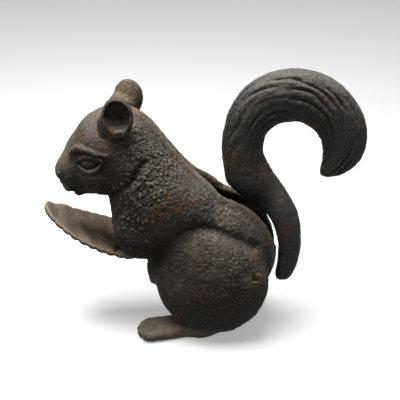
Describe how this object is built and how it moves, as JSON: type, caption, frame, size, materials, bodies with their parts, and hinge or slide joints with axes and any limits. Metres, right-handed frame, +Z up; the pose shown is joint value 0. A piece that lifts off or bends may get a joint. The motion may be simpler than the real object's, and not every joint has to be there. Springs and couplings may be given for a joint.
{
  "type": "lever nutcracker",
  "caption": "Seated squirrel nutcracker in cast iron: two body halves round a pivoting tail lever, whose paw tray presses a nut up against the muzzle.",
  "frame": {"origin": "on the surface it stands on, at the middle of its footprint box: midway between the tips of the paws and the tail, in the seam plane", "axes": "the squirrel faces -X and its tail is at +X, +Z up, Y square to the seam between the body halves"},
  "size_m": [0.1745, 0.058, 0.1554],
  "materials": {
    "body_iron": "old black paint over rough sand-cast iron, rubbed brown on the high places, with rust spots",
    "tail_iron": "old black paint, satin, worn along the hair grooves",
    "tray_iron": "bare brown iron, rubbed by nuts, bright along its rim",
    "rivet_steel": "rusted steel, filed flush"
  },
  "bodies": {
    "body": {"left_body_shell": "body_iron", "right_body_shell": "body_iron", "pivot_pin": "rivet_steel", "head_rivet": "rivet_steel", "rump_rivet": "rivet_steel"},
    "lever": {"tail_lever": "tail_iron", "paw_tray": "tray_iron", "tray_rivets": "rivet_steel"}
  },
  "joints": [
    {"name": "tail_hinge", "type": "hinge", "parent": "body", "child": "lever", "pos_m": [-0.006, 0, 0.064], "axis": [0, -1, 0], "range_deg": [0, 20]}
  ]
}
